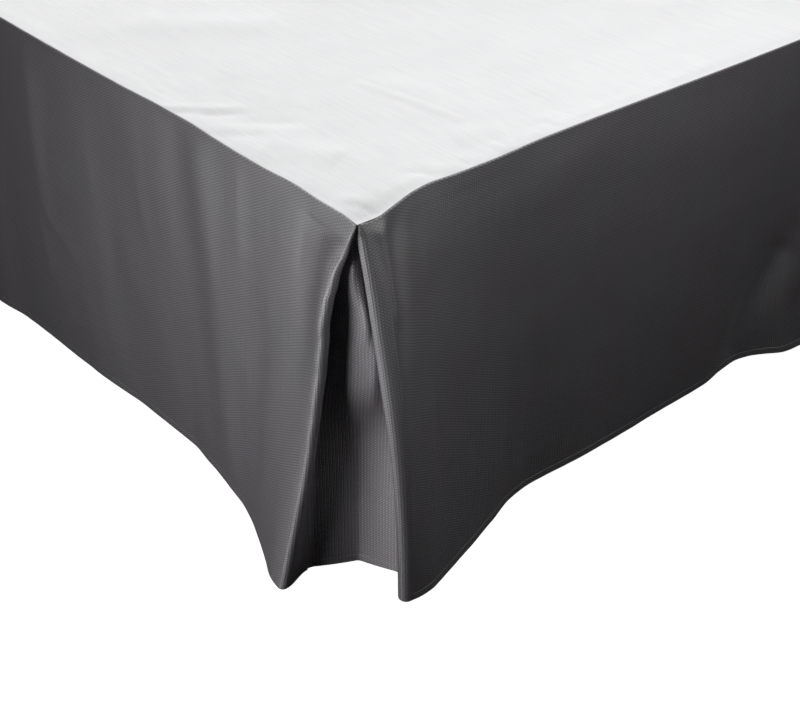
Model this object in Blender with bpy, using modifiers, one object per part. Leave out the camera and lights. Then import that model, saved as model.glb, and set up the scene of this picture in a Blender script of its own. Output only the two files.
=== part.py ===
"""Bed skirt on a plain bed base, in metres, +Z up.

A white deck lies on the base. Charcoal drops hang from its two long edges and its foot edge, nearly to
the floor. At each foot corner the two drops turn back into an inverted box pleat, backed by an insert
that is sewn to them in the pleat's inner folds. The pleat is closed at the top and its flaps swing out
towards the hem. The head end is open.

Each drop is worked out in its own plan: `along` runs from the square corner of the deck along its edge,
and `out` points away from the bed. The foot is towards -Y. The origin is on the floor, under the middle
of the whole object.
"""

import math
from collections import namedtuple

import bmesh
import bpy

# The bed, and how the skirt hangs on it
BED_WIDTH = 1.60
BED_LENGTH = 2.00
DROP = 0.500  # from the deck's edge to the hem
HEM_HEIGHT = 0.010  # the hem's clearance over the floor
DECK_TOP = HEM_HEIGHT + DROP

# Cloth
DROP_CLOTH = 0.0012
DECK_CLOTH = 0.0010
SEAM_GAP = 0.0003
LAYER = 0.0020  # from one layer of the closed pleat to the next
EDGE_ROLL = 0.003  # the drop turns over the deck's edge with this radius
TURNED_DEPTH = 0.012  # the pleat's hidden layers start this far below the deck's edge

# The pleat
PLEAT_DEPTH = 0.055  # from a flap's edge to the inner fold, at the top
SEAM_LAP = 0.0018  # an insert runs this far past its seam at the top
HEM_LAP = 0.0030  # and this far behind the turn-back at the hem
FOLD_REACH = 0.011  # the inner fold is rounded over about this length at the hem
TURN_SWING = math.radians(15)  # a turn-back sets off this much off its straight line at the hem
CORNER_ROLL = 0.005  # the insert turns the corner with this radius at the top
INSERT_SET_BACK = 0.0220  # the insert's hem is drawn in to here, off each edge of the corner
INSERT_HANG = 0.0040  # the middle of the insert's hem hangs this much lower than its ends
CORNER_SAG = 0.004  # the deck's corner hangs this far below its edges
CORNER_SAG_REACH = 0.018
FAR_FLAP = 0.92  # the pleat on the other side stands out a little less

# The bed base
BASE_CLEARANCE = 0.006  # from the deck's edge to the base's sides
BASE_DEPTH = 0.220
BASE_CORNER = 0.060
BASE_EDGE = 0.008
LEG_TOP_RADIUS = 0.030
LEG_FOOT_RADIUS = 0.021
LEG_INSET = 0.100
TOUCH = 0.0003  # between pieces that rest on each other

# Where the middle of the whole object lies: the foot flaps stand out past the bed
FOOT_REACH = 0.0750
MIDDLE_Y = -FOOT_REACH / 2

# A section of a drop: where it starts on the deck's edge and ends on the hem, and how far out it hangs
# at the edge, half-way down and at the hem. The first row is the flap's edge.
Section = namedtuple("Section", "at_top at_hem top middle hem")

SIDE_SECTIONS = [
    Section(-0.015, 0.0406, 0.001, 0.038, 0.0785),
    Section(0.005, 0.055, 0.000, 0.037, 0.0775),
    Section(0.030, 0.070, 0.000, 0.034, 0.0739),
    Section(0.070, 0.100, 0.000, 0.028, 0.0590),
    Section(0.105, 0.132, 0.000, 0.022, 0.0441),
    Section(0.165, 0.182, 0.000, 0.012, 0.0235),
    Section(0.215, 0.224, 0.000, 0.008, 0.0102),
    Section(0.250, 0.252, 0.000, 0.004, 0.0058),
    Section(0.311, 0.311, 0.000, -0.002, -0.0027),
    Section(0.360, 0.360, 0.000, -0.004, -0.0103),
    Section(0.480, 0.480, 0.000, -0.004, -0.0107),
    Section(0.570, 0.570, 0.000, 0.000, -0.0048),
    Section(0.690, 0.690, 0.000, 0.003, -0.0025),
    Section(0.800, 0.800, 0.000, -0.002, -0.0016),
    Section(0.880, 0.880, 0.000, 0.001, 0.0070),
    Section(1.050, 1.050, 0.000, 0.000, -0.0040),
    Section(1.350, 1.350, 0.000, 0.002, 0.0060),
    Section(1.650, 1.650, 0.000, 0.000, -0.0030),
    Section(2.000, 2.000, 0.000, 0.001, 0.0030),
]

FOOT_SECTIONS = [
    Section(0.0015, 0.017, 0.015, 0.061, 0.0707),
    Section(0.028, 0.038, 0.015, 0.056, 0.0715),
    Section(0.044, 0.058, 0.011, 0.049, 0.0703),
    Section(0.063, 0.078, 0.007, 0.042, 0.0653),
    Section(0.090, 0.101, 0.002, 0.032, 0.0582),
    Section(0.140, 0.149, 0.000, 0.021, 0.0424),
    Section(0.195, 0.201, 0.000, 0.010, 0.0237),
    Section(0.250, 0.255, 0.000, 0.002, 0.0047),
    Section(0.297, 0.297, 0.000, -0.001, -0.0010),
    Section(0.400, 0.400, 0.000, 0.000, 0.0020),
    Section(0.520, 0.520, 0.000, 0.000, -0.0008),
    Section(0.646, 0.646, 0.000, -0.001, -0.0047),
    Section(0.700, 0.700, 0.000, -0.003, -0.0093),
    Section(0.738, 0.738, 0.000, -0.004, -0.0146),
    Section(0.760, 0.760, 0.000, -0.004, -0.0108),
    Section(0.781, 0.781, 0.000, -0.003, -0.0009),
    Section(0.812, 0.812, 0.000, 0.000, 0.0168),
    Section(0.845, 0.845, 0.000, 0.002, 0.0218),
    Section(0.890, 0.890, 0.000, 0.002, 0.0130),
    Section(0.960, 0.960, 0.000, 0.000, 0.0000),
]

# The half-widths of a flap's rolled edge, along the drop and outward, at these parts of its depth
Roll = namedtuple("Roll", "part along out")

SIDE_ROLL = [
    Roll(0.00, 0.001, 0.001),
    Roll(0.08, 0.005, 0.005),
    Roll(0.18, 0.009, 0.009),
    Roll(1.00, 0.009, 0.009),
]

FOOT_ROLL = [
    Roll(0.00, 0.001, 0.001),
    Roll(0.08, 0.006, 0.005),
    Roll(0.20, 0.015, 0.009),
    Roll(0.55, 0.015, 0.009),
    Roll(1.00, 0.009, 0.009),
]

# The seam in a pleat's inner fold: its place along the drop and how far out it hangs at the hem
Seam = namedtuple("Seam", "along out")
SIDE_SEAM = Seam(0.0515, 0.0315)
FOOT_SEAM = Seam(0.0460, 0.0280)

# A drop's shape near and beyond its pleat
Hanging = namedtuple("Hanging", "sections roll seam folds")

# A soft fold that runs down a drop: its place, height and half-width at its upper and lower end, which
# lie at these parts of the drop. A negative height is a trough.
Fold = namedtuple("Fold", "from_along to_along from_part to_part height half_width")

# A side drop's flap springs open under the corner
SIDE_OPENING = [
    Fold(-0.008, 0.014, 0.03, 0.46, 0.0150, 0.030),
    Fold(-0.008, 0.000, 0.03, 0.25, 0.0045, 0.030),
]

SIDE_FOLDS = [
    Fold(0.278, 0.232, 0.04, 1.00, 0.0040, 0.030),
    Fold(0.330, 0.300, 0.04, 0.80, -0.0025, 0.035),
    Fold(0.685, 0.688, 0.10, 0.50, 0.0035, 0.022),
    Fold(0.829, 0.620, 0.50, 0.46, -0.0020, 0.025),
]

FOOT_FOLDS = [
    Fold(0.070, 0.036, 0.05, 0.60, 0.0020, 0.018),
    Fold(0.800, 0.700, 0.62, 0.97, -0.0080, 0.030),
    Fold(0.828, 0.838, 0.80, 1.00, -0.0030, 0.012),
]

# A column of a drop's sheet at one level. It starts `sink` below the deck's edge, which sags by `sag`.
Column = namedtuple("Column", "along out sink sag")

# Sections are no further apart than this, near the pleat and beyond it
CLOSE_STEP = 0.045
WIDE_STEP = 0.110
PLEAT_ZONE = 0.35

# How far down the drop each row of its sheet lies, as a part of its depth
DROP_ROWS = (0.0, 0.003, 0.012, 0.04, 0.11, 0.21, 0.33, 0.46, 0.60, 0.74, 0.88, 1.0)
TURN_STEPS = 5  # faces round a flap's folded edge
RETURN_STEPS = 4  # faces across a turn-back
INSERT_STEPS = (1, 3, 2, 4, 2, 3, 1)  # faces along the insert, straight and round its folds by turns
DECK_RIM = 0.020  # the deck is quite flat inside this rim
FAR_FOOT_ROWS = 9  # the rows of the foot's table that shape its far pleat


def rounded(keys, values):
    """A smooth curve through a short table, with no overshoot between its rows."""
    steps = [b - a for a, b in zip(keys, keys[1:])]
    slopes = [(b - a) / step for a, b, step in zip(values, values[1:], steps)]
    tangents = [slopes[0]]
    for before, after in zip(slopes, slopes[1:]):
        flat = before * after <= 0
        tangents.append(0.0 if flat else 2 * before * after / (before + after))
    tangents.append(slopes[-1])

    def at(key):
        i = max(0, min(len(steps) - 1, sum(k <= key for k in keys) - 1))
        t = (key - keys[i]) / steps[i]
        rise = values[i + 1] - values[i]
        start, end = tangents[i] * steps[i], tangents[i + 1] * steps[i]
        return values[i] + t * (start + t * (3 * rise - 2 * start - end + t * (start + end - 2 * rise)))

    return at


def blend(start, end, part):
    return start + (end - start) * part


def soft_step(part):
    part = max(0.0, min(1.0, part))
    return part * part * (3 - 2 * part)


def spread(sections):
    """The table's sections with smooth ones between them, close together near the pleat."""
    keys = [s.at_hem for s in sections]
    curves = [rounded(keys, [s[i] for s in sections]) for i in range(len(Section._fields))]
    places = [keys[0]]
    for start, end in zip(keys, keys[1:]):
        step = CLOSE_STEP if start < PLEAT_ZONE else WIDE_STEP
        count = math.ceil((end - start) / step)
        places += [blend(start, end, (i + 1) / count) for i in range(count)]
    return [Section(*(curve(place) for curve in curves)) for place in places]


def scaled(sections, amount):
    """The same drop with its flap standing out by another amount."""
    return [s._replace(middle=s.middle * amount, hem=s.hem * amount) for s in sections]


def fold_height(folds, along, part):
    """What the soft folds add at a place on the drop."""
    height = 0.0
    for fold in folds:
        t = (part - fold.from_part) / (fold.to_part - fold.from_part)
        centre = blend(fold.from_along, fold.to_along, t)
        ends = soft_step(4 * t + 0.5) * soft_step(4 * (1 - t) + 0.5)
        across = (along - centre) / fold.half_width
        height += fold.height * ends * math.exp(-across * across)
    return height


def edge_roll(depth):
    """How far the drop has turned outward at this depth below the deck's edge."""
    if depth >= EDGE_ROLL:
        return EDGE_ROLL
    return math.sqrt(EDGE_ROLL**2 - (EDGE_ROLL - depth) ** 2)


def hang(section, part, folds):
    """(along, out) of the drop's outer layer at a part of its depth."""
    along = blend(section.at_top, section.at_hem, part)
    at_top = section.top * (1 - part) * (1 - 2 * part)
    half_way = section.middle * 4 * part * (1 - part)
    at_hem = section.hem * part * (2 * part - 1)
    return along, at_top + half_way + at_hem + fold_height(folds, along, part)


def corner_sag(section, sections):
    """How far the deck's edge hangs at a section, most at the corner."""
    from_corner = (section.at_top - sections[0].at_top) / CORNER_SAG_REACH
    return CORNER_SAG * math.exp(-from_corner * from_corner)


def inner_fold(drop, part):
    """(along, out) of the seam in the pleat's inner fold. It lies a layer behind the drop at the top."""
    top_line = rounded([s.at_top for s in drop.sections], [s.top for s in drop.sections])
    along = blend(PLEAT_DEPTH, drop.seam.along, part)
    return along, blend(top_line(PLEAT_DEPTH) - LAYER, drop.seam.out, part)


def turn_back(drop, part):
    """The pleat side of a drop at one level: its seam, its turn-back and the roll of the flap's edge."""
    keys = [r.part for r in drop.roll]
    wide = rounded(keys, [r.along for r in drop.roll])(part)
    deep = rounded(keys, [r.out for r in drop.roll])(part)
    edge = hang(drop.sections[0], part, drop.folds)
    seam = inner_fold(drop, part)
    centre = (edge[0] + wide, edge[1] - deep)
    # The turn-back leaves the roll about where the line from the seam just touches it.
    across, down = (seam[0] - centre[0]) / wide, (seam[1] - centre[1]) / deep
    swing = TURN_SWING * part
    end = math.atan2(down, across) - math.acos(min(1.0, 1 / math.hypot(across, down))) - swing
    start = math.pi / 2
    while end < start:
        end += 2 * math.pi
    roll = []
    for i in range(TURN_STEPS + 1):
        angle = blend(end, start, i / TURN_STEPS)
        roll.append((centre[0] + wide * math.cos(angle), centre[1] + deep * math.sin(angle)))
    # Both its ends are turned by the swing, which gives it a slight S.
    chord = (roll[0][0] - seam[0], roll[0][1] - seam[1])
    turned = (
        chord[0] * math.cos(swing) + chord[1] * math.sin(swing),
        chord[1] * math.cos(swing) - chord[0] * math.sin(swing),
    )
    straight = []
    for i in range(RETURN_STEPS):
        t = i / RETURN_STEPS
        pull = t * (1 - t) * (1 - 2 * t)
        on_chord = t * t * (3 - 2 * t)
        straight.append(tuple(s + on_chord * c + pull * d for s, c, d in zip(seam, chord, turned)))
    return straight, roll


def pleat_and_drop(drop, part):
    """The columns of a drop at one level, from its pleat's seam along to its other end."""
    straight, roll = turn_back(drop, part)
    columns = [Column(*place, TURNED_DEPTH, CORNER_SAG) for place in straight]
    for i, place in enumerate(roll):
        # The roll climbs from the hidden layer's top to the outer layer's before it turns the edge.
        columns.append(Column(*place, TURNED_DEPTH * (1 - soft_step(1.6 * i / TURN_STEPS)), CORNER_SAG))
    for section in drop.sections[1:]:
        columns.append(Column(*hang(section, part, drop.folds), 0.0, corner_sag(section, drop.sections)))
    return columns


def foot_columns(near, far, part):
    """The columns of the foot drop at one level, which has a pleat at both ends."""
    end = [c._replace(along=BED_WIDTH - c.along) for c in pleat_and_drop(far, part)]
    return pleat_and_drop(near, part) + end[::-1]


def drop_rows(columns_at):
    """Rows of (along, out, z) down a drop. columns_at(part) gives the columns of one level; a column that
    starts lower has its rows closer together."""
    rows = []
    for part in DROP_ROWS:
        row = []
        for column in columns_at(part):
            depth = blend(column.sink, DROP - DROP_CLOTH / 2, part)
            z = DECK_TOP - DROP_CLOTH / 2 - depth - column.sag * (1 - part)
            row.append((column.along, column.out + edge_roll(depth) + SEAM_GAP / 2, z))
        rows.append(row)
    return rows


def bent(points, reaches):
    """A path through these points, with each corner between them rounded over its reach."""
    path = []
    here = points[0]
    steps = iter(INSERT_STEPS)
    for before, corner, after, reach in zip(points, points[1:], points[2:], reaches):
        first, last = math.dist(before, corner), math.dist(corner, after)
        reach = min(reach, 0.45 * first, 0.45 * last)
        enter = tuple(blend(c, b, reach / first) for b, c in zip(before, corner))
        leave = tuple(blend(c, a, reach / last) for c, a in zip(corner, after))
        count = next(steps)
        path += [tuple(blend(h, e, i / count) for h, e in zip(here, enter)) for i in range(count)]
        count = next(steps)
        for t in (i / count for i in range(count)):
            path.append(
                tuple(
                    (1 - t) ** 2 * e + 2 * t * (1 - t) * c + t * t * v
                    for e, c, v in zip(enter, corner, leave)
                )
            )
        here = leave
    count = next(steps)
    return path + [tuple(blend(h, e, i / count) for h, e in zip(here, points[-1])) for i in range(count + 1)]


def insert_end(drop, part):
    """Where an insert ends by its seam with this drop, and the corner of the inner fold there."""
    along, out = inner_fold(drop, part)
    opened = soft_step((part - 0.4) / 0.6)
    end = (along + SEAM_LAP, out + EDGE_ROLL + blend(-LAYER, HEM_LAP, opened))
    reach = blend(0.004, FOLD_REACH, part)
    heading = math.pi + math.pi / 2 * soft_step((part - 0.3) / 0.4)
    return end, (end[0] + reach * math.cos(heading), end[1] + reach * math.sin(heading))


def insert_rows(side, foot):
    """Rows of (from the foot, from the side, z) of a pleat's insert between two drops, both measured
    into the bed from the square corner."""
    rows = []
    for part in DROP_ROWS:
        z = DECK_TOP - blend(TURNED_DEPTH, DROP, part)
        start, first_fold = ((along, -out) for along, out in insert_end(side, part))
        end, last_fold = ((-out, along) for along, out in insert_end(foot, part))
        behind = EDGE_ROLL - 2 * LAYER
        top_corner = (-foot.sections[0].top - behind, -side.sections[0].top - behind)
        pulled_in = soft_step(part * 1.1)
        corner = tuple(blend(c, INSERT_SET_BACK, pulled_in) for c in top_corner)
        radius = blend(CORNER_ROLL, PLEAT_DEPTH, part)
        path = bent((start, first_fold, corner, last_fold, end), (0.020, radius, 0.020))
        row = []
        for y, x in path:
            across = min(1.0, math.dist(path[0], (y, x)) / math.dist(path[0], path[-1]))
            row.append((y, x, z - INSERT_HANG * part * math.sin(math.pi * across)))
        rows.append(row)
    return rows


def new_object(name, bm, material):
    mesh = bpy.data.meshes.new(name)
    bm.to_mesh(mesh)
    bm.free()
    mesh.materials.append(material)
    thing = bpy.data.objects.new(name, mesh)
    collection.objects.link(thing)
    return thing


def thick(name, bm, thickness, material):
    """A cloth object that has its thickness on both sides of the open surface in bm."""
    thing = new_object(name, bm, material)
    solidify = thing.modifiers.new("thickness", "SOLIDIFY")
    solidify.thickness = thickness
    solidify.offset = 0.0
    thing.data.shade_smooth()
    return thing


def sheet(name, rows, place, material):
    """A drop's cloth, lofted through rows of points; place turns a row's point into a place in the room."""
    bm = bmesh.new()
    grid = [[bm.verts.new(place(*point)) for point in row] for row in rows]
    for upper, lower in zip(grid, grid[1:]):
        for i in range(len(upper) - 1):
            bm.faces.new((upper[i], upper[i + 1], lower[i + 1], lower[i]))
    bmesh.ops.recalc_face_normals(bm, faces=bm.faces)
    return thick(name, bm, DROP_CLOTH, material)


def left_side(along, out, z):
    return -BED_WIDTH / 2 - out, -BED_LENGTH / 2 + along - MIDDLE_Y, z


def right_side(along, out, z):
    return BED_WIDTH / 2 + out, -BED_LENGTH / 2 + along - MIDDLE_Y, z


def foot_end(along, out, z):
    return -BED_WIDTH / 2 + along, -BED_LENGTH / 2 - out - MIDDLE_Y, z


def left_corner(y, x, z):
    return -BED_WIDTH / 2 + x, -BED_LENGTH / 2 + y - MIDDLE_Y, z


def right_corner(y, x, z):
    return BED_WIDTH / 2 - x, -BED_LENGTH / 2 + y - MIDDLE_Y, z


def deck_edge(drop):
    """(along, out, z) of the seam between the deck and a drop, as far as the flap's edge."""
    sections = drop.sections
    first = sections[0]._replace(at_top=sections[0].at_top + LAYER / 2)
    edge = []
    for section in [first] + sections[1:]:
        along, out = hang(section, 0.0, drop.folds)
        edge.append((along, out - SEAM_GAP / 2, DECK_TOP - DROP_CLOTH / 2 - corner_sag(section, sections)))
    return edge


def deck(side, far_side, near_foot, far_foot, material):
    """The deck: flat on the base, with its edge seamed to the drops and its foot corners drawn out."""
    foot = deck_edge(near_foot)
    foot += [(BED_WIDTH - a, o, z) for a, o, z in reversed(deck_edge(far_foot))]
    outline = [left_side(*p) for p in reversed(deck_edge(side))]
    outline += [foot_end(*p) for p in foot]
    outline += [right_side(*p) for p in deck_edge(far_side)]
    across, down = 1 - DECK_RIM / (BED_WIDTH / 2), 1 - DECK_RIM / (BED_LENGTH / 2)
    flat = DECK_TOP - DROP_CLOTH / 2
    bm = bmesh.new()
    outer = [bm.verts.new(p) for p in outline]
    inner = [
        bm.verts.new((x * across, (y + MIDDLE_Y) * down - MIDDLE_Y, flat)) for x, y, z in outline
    ]
    count = len(outline)
    for i in range(count):
        j = (i + 1) % count
        bm.faces.new((outer[i], outer[j], inner[j], inner[i]))
    bm.faces.new(inner)
    bmesh.ops.recalc_face_normals(bm, faces=bm.faces)
    return thick("deck", bm, DECK_CLOTH, material)


def base_height():
    """The top of the base, just under the deck."""
    return DECK_TOP - DROP_CLOTH / 2 - DECK_CLOTH / 2 - TOUCH


def bed_base(material):
    """A plain box base with rounded corners."""
    bm = bmesh.new()
    bmesh.ops.create_cube(bm, size=1.0)
    width = BED_WIDTH - 2 * BASE_CLEARANCE
    length = BED_LENGTH - 2 * BASE_CLEARANCE
    bmesh.ops.scale(bm, vec=(width, length, BASE_DEPTH), verts=bm.verts)
    middle = base_height() - BASE_DEPTH / 2
    bmesh.ops.translate(bm, vec=(0, -MIDDLE_Y, middle), verts=bm.verts)
    upright = [e for e in bm.edges if abs(e.verts[0].co.z - e.verts[1].co.z) > BASE_DEPTH / 2]
    bmesh.ops.bevel(bm, geom=upright, offset=BASE_CORNER, segments=8, profile=0.5, affect="EDGES")
    rims = [e for e in bm.edges if abs(e.verts[0].co.z - e.verts[1].co.z) < TOUCH]
    rims = [e for e in rims if any(abs(f.normal.z) < 0.5 for f in e.link_faces)]
    bmesh.ops.bevel(bm, geom=rims, offset=BASE_EDGE, segments=3, profile=0.5, affect="EDGES")
    return new_object("bed_base", bm, material)


def leg(name, x, y, material):
    """A round leg that tapers to the floor."""
    height = base_height() - BASE_DEPTH - TOUCH
    bm = bmesh.new()
    bmesh.ops.create_cone(
        bm,
        cap_ends=True,
        segments=24,
        radius1=LEG_FOOT_RADIUS,
        radius2=LEG_TOP_RADIUS,
        depth=height,
    )
    bmesh.ops.translate(bm, vec=(x, y - MIDDLE_Y, height / 2), verts=bm.verts)
    return new_object(name, bm, material)


def finish(name, colour, roughness):
    material = bpy.data.materials.new(name)
    material.use_nodes = True
    shader = material.node_tree.nodes["Principled BSDF"]
    shader.inputs["Base Color"].default_value = (*colour, 1.0)
    shader.inputs["Roughness"].default_value = roughness
    shader.inputs["Metallic"].default_value = 0.0
    return material


def build():
    side = Hanging(spread(SIDE_SECTIONS), SIDE_ROLL, SIDE_SEAM, SIDE_OPENING + SIDE_FOLDS)
    near_foot = Hanging(spread(FOOT_SECTIONS), FOOT_ROLL, FOOT_SEAM, FOOT_FOLDS)
    far_side = side._replace(sections=spread(scaled(SIDE_SECTIONS, FAR_FLAP)), folds=SIDE_OPENING)
    far_sections = spread(scaled(FOOT_SECTIONS[:FAR_FOOT_ROWS], FAR_FLAP))
    far_foot = near_foot._replace(sections=far_sections, folds=[])
    drops = [
        ("left_drop", drop_rows(lambda part: pleat_and_drop(side, part)), left_side),
        ("foot_drop", drop_rows(lambda part: foot_columns(near_foot, far_foot, part)), foot_end),
        ("right_drop", drop_rows(lambda part: pleat_and_drop(far_side, part)), right_side),
        ("left_insert", insert_rows(side, near_foot), left_corner),
        ("right_insert", insert_rows(far_side, far_foot), right_corner),
    ]
    for name, rows, place in drops:
        sheet(name, rows, place, finish(name, (0.085, 0.083, 0.089), 0.8))
    deck(side, far_side, near_foot, far_foot, finish("deck", (0.85, 0.85, 0.86), 0.8))
    bed_base(finish("bed_base", (0.62, 0.60, 0.56), 0.8))
    number = 0
    for y in (-1, 0, 1):
        for x in (-1, 1):
            number += 1
            place = x * (BED_WIDTH / 2 - LEG_INSET), y * (BED_LENGTH / 2 - LEG_INSET)
            leg(f"leg_{number}", *place, finish(f"leg_{number}", (0.30, 0.19, 0.11), 0.5))


for old in list(bpy.data.objects):
    bpy.data.objects.remove(old, do_unlink=True)
collection = bpy.data.collections.new("bed_skirt")
bpy.context.scene.collection.children.link(collection)
build()
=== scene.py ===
import math
from collections import namedtuple

import bpy
import numpy as np
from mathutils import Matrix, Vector, noise


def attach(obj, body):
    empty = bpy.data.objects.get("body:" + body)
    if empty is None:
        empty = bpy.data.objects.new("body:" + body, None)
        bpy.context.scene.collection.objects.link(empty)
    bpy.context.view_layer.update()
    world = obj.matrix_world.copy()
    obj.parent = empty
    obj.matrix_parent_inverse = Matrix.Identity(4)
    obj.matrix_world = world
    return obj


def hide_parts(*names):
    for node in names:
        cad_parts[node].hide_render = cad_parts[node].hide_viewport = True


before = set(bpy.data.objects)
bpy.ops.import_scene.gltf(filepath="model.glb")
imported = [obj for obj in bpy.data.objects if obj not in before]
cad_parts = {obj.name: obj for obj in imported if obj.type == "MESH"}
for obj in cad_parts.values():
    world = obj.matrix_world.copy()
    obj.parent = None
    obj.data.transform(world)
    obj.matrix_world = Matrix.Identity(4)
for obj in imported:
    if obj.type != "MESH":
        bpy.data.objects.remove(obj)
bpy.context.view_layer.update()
bpy.ops.object.select_all(action="DESELECT")

# ---------------------------------------------------------------- sizes, in metres
BED_WIDTH = 1.60
BED_LENGTH = 2.00
DROP = 0.500
HEM_HEIGHT = 0.010
DECK_TOP = HEM_HEIGHT + DROP
DROP_CLOTH = 0.0012
DECK_CLOTH = 0.0010
SEAM_GAP = 0.0003
LAYER = 0.0020
# how far a drop stands out below its seam, all of it and its first sharp turn
EDGE_ROLL = 0.003
SHARP_ROLL = 0.0008
CORNER_SAG = 0.004
CORNER_SAG_REACH = 0.018
FAR_FLAP = 0.92
FOOT_REACH = 0.0750
MIDDLE_Y = -FOOT_REACH / 2
BAND = 0.020
HEM = 0.010
STITCH = 0.0029

# The pleats. Turned-back cloth starts lower than the drops' faces.
TURNED_DEPTH = 0.012
PLEAT_DEPTH = 0.055
TURN_SWING = math.radians(15)
SEAM_LAP = 0.0018
HEM_LAP = 0.0030
FOLD_REACH = 0.011
CORNER_ROLL = 0.005

# The inserts. How far the middle fold stands back at the hem, and how much lower it hangs there; then what
# moves that fold (across the foot end, up the bed): back into the hollow under the corner, out at the tip
# below it, and back again in the lower half.
INSERT_SET_BACK = 0.0220
INSERT_HANG = 0.0040
INSERT_HOLLOW = np.array([0.004, 0.011])
INSERT_TIP = np.array([-0.0065, 0.0017])
INSERT_BOW = 0.012
INSERT_FOLD_REACHES = (0.020, 0.005, 0.016, 0.020)

# Where these changes come and go, as parts of an insert's depth
HOLLOW_GOES = (0.06, 0.09)
TIP_LEVEL = 0.13
TIP_SPREAD = 0.07
BOW_COMES = (0.42, 0.62)
BOW_HALF_GOES = (0.62, 1.00)
LEAN_COMES = (0.09, 0.16)
LEAN_GOES = (0.24, 0.56)
MEETS_ROLL = (0.07, 0.12)
LEAVES_ROLL = (0.20, 0.32)

# A section of a drop: its place on the deck's edge and on the hem, and how far out it hangs at the edge,
# half-way down and at the hem. The first row is the flap's edge.
Section = namedtuple("Section", "at_top at_hem top middle hem")

SIDE_SECTIONS = [
    Section(-0.015, 0.0406, 0.001, 0.038, 0.0785),
    Section(0.005, 0.055, 0.000, 0.037, 0.0775),
    Section(0.030, 0.070, 0.000, 0.034, 0.0739),
    Section(0.070, 0.100, 0.000, 0.028, 0.0590),
    Section(0.105, 0.132, 0.000, 0.022, 0.0441),
    Section(0.165, 0.182, 0.000, 0.012, 0.0235),
    Section(0.215, 0.224, 0.000, 0.008, 0.0102),
    Section(0.250, 0.252, 0.000, 0.004, 0.0058),
    Section(0.311, 0.311, 0.000, -0.002, -0.0027),
    Section(0.360, 0.360, 0.000, -0.004, -0.0103),
    Section(0.480, 0.480, 0.000, -0.004, -0.0107),
    Section(0.570, 0.570, 0.000, 0.000, -0.0048),
    Section(0.690, 0.690, 0.000, 0.003, -0.0025),
    Section(0.800, 0.800, 0.000, -0.002, -0.0016),
    Section(0.880, 0.880, 0.000, 0.001, 0.0070),
    Section(1.050, 1.050, 0.000, 0.000, -0.0040),
    Section(1.350, 1.350, 0.000, 0.002, 0.0060),
    Section(1.650, 1.650, 0.000, 0.000, -0.0030),
    Section(2.000, 2.000, 0.000, 0.001, 0.0030),
]

FOOT_SECTIONS = [
    Section(0.0015, 0.017, 0.015, 0.061, 0.0707),
    Section(0.028, 0.038, 0.015, 0.056, 0.0715),
    Section(0.044, 0.058, 0.011, 0.049, 0.0703),
    Section(0.063, 0.078, 0.007, 0.042, 0.0653),
    Section(0.090, 0.101, 0.002, 0.032, 0.0582),
    Section(0.140, 0.149, 0.000, 0.021, 0.0424),
    Section(0.195, 0.201, 0.000, 0.010, 0.0237),
    Section(0.250, 0.255, 0.000, 0.002, 0.0047),
    Section(0.297, 0.297, 0.000, -0.001, -0.0010),
    Section(0.400, 0.400, 0.000, 0.000, 0.0020),
    Section(0.520, 0.520, 0.000, 0.000, -0.0008),
    Section(0.646, 0.646, 0.000, -0.001, -0.0047),
    Section(0.700, 0.700, 0.000, -0.003, -0.0093),
    Section(0.738, 0.738, 0.000, -0.004, -0.0146),
    Section(0.760, 0.760, 0.000, -0.004, -0.0108),
    Section(0.781, 0.781, 0.000, -0.003, -0.0009),
    Section(0.812, 0.812, 0.000, 0.000, 0.0168),
    Section(0.845, 0.845, 0.000, 0.002, 0.0218),
    Section(0.890, 0.890, 0.000, 0.002, 0.0130),
    Section(0.960, 0.960, 0.000, 0.000, 0.0000),
]

# The half-widths of a flap's rolled edge at these parts of its depth: along the drop, outward to its face,
# and inward to its turn-back
Roll = namedtuple("Roll", "part along out back")

SIDE_ROLL = [
    Roll(0.00, 0.0010, 0.0010, 0.0010),
    Roll(0.03, 0.0022, 0.0022, 0.0022),
    Roll(0.07, 0.0042, 0.0042, 0.0042),
    Roll(0.13, 0.0060, 0.0060, 0.0060),
    Roll(0.20, 0.0065, 0.0065, 0.0065),
    Roll(1.00, 0.0065, 0.0065, 0.0065),
]

FOOT_ROLL = [
    Roll(0.00, 0.0010, 0.0010, 0.0010),
    Roll(0.04, 0.0100, 0.0085, 0.0025),
    Roll(0.10, 0.0150, 0.0110, 0.0030),
    Roll(0.22, 0.0195, 0.0140, 0.0035),
    Roll(0.36, 0.0180, 0.0145, 0.0040),
    Roll(0.56, 0.0120, 0.0110, 0.0050),
    Roll(1.00, 0.0090, 0.0090, 0.0090),
]

# The seam in a pleat's inner fold: its place along the drop and how far out it hangs at the hem
Seam = namedtuple("Seam", "along out")
SIDE_SEAM = Seam(0.0515, 0.0315)
FOOT_SEAM = Seam(0.0460, 0.0280)

# How the top seam strays from the deck's straight edge: at a place along it, how far it stands above the
# deck and how far it is pulled in over it
Stray = namedtuple("Stray", "along above inward")

SIDE_TOP_LINE = [
    Stray(-0.015, -0.0005, 0.0000),
    Stray(0.040, -0.0004, 0.0000),
    Stray(0.100, 0.0014, 0.0014),
    Stray(0.150, 0.0004, 0.0004),
    Stray(0.190, 0.0005, 0.0005),
    Stray(0.240, 0.0013, 0.0013),
    Stray(0.300, 0.0027, 0.0027),
    Stray(0.360, 0.0026, 0.0026),
    Stray(0.450, 0.0012, 0.0012),
    Stray(0.600, 0.0008, 0.0004),
    Stray(0.900, 0.0014, 0.0010),
    Stray(1.300, 0.0004, 0.0004),
    Stray(2.000, 0.0004, 0.0000),
]

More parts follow.
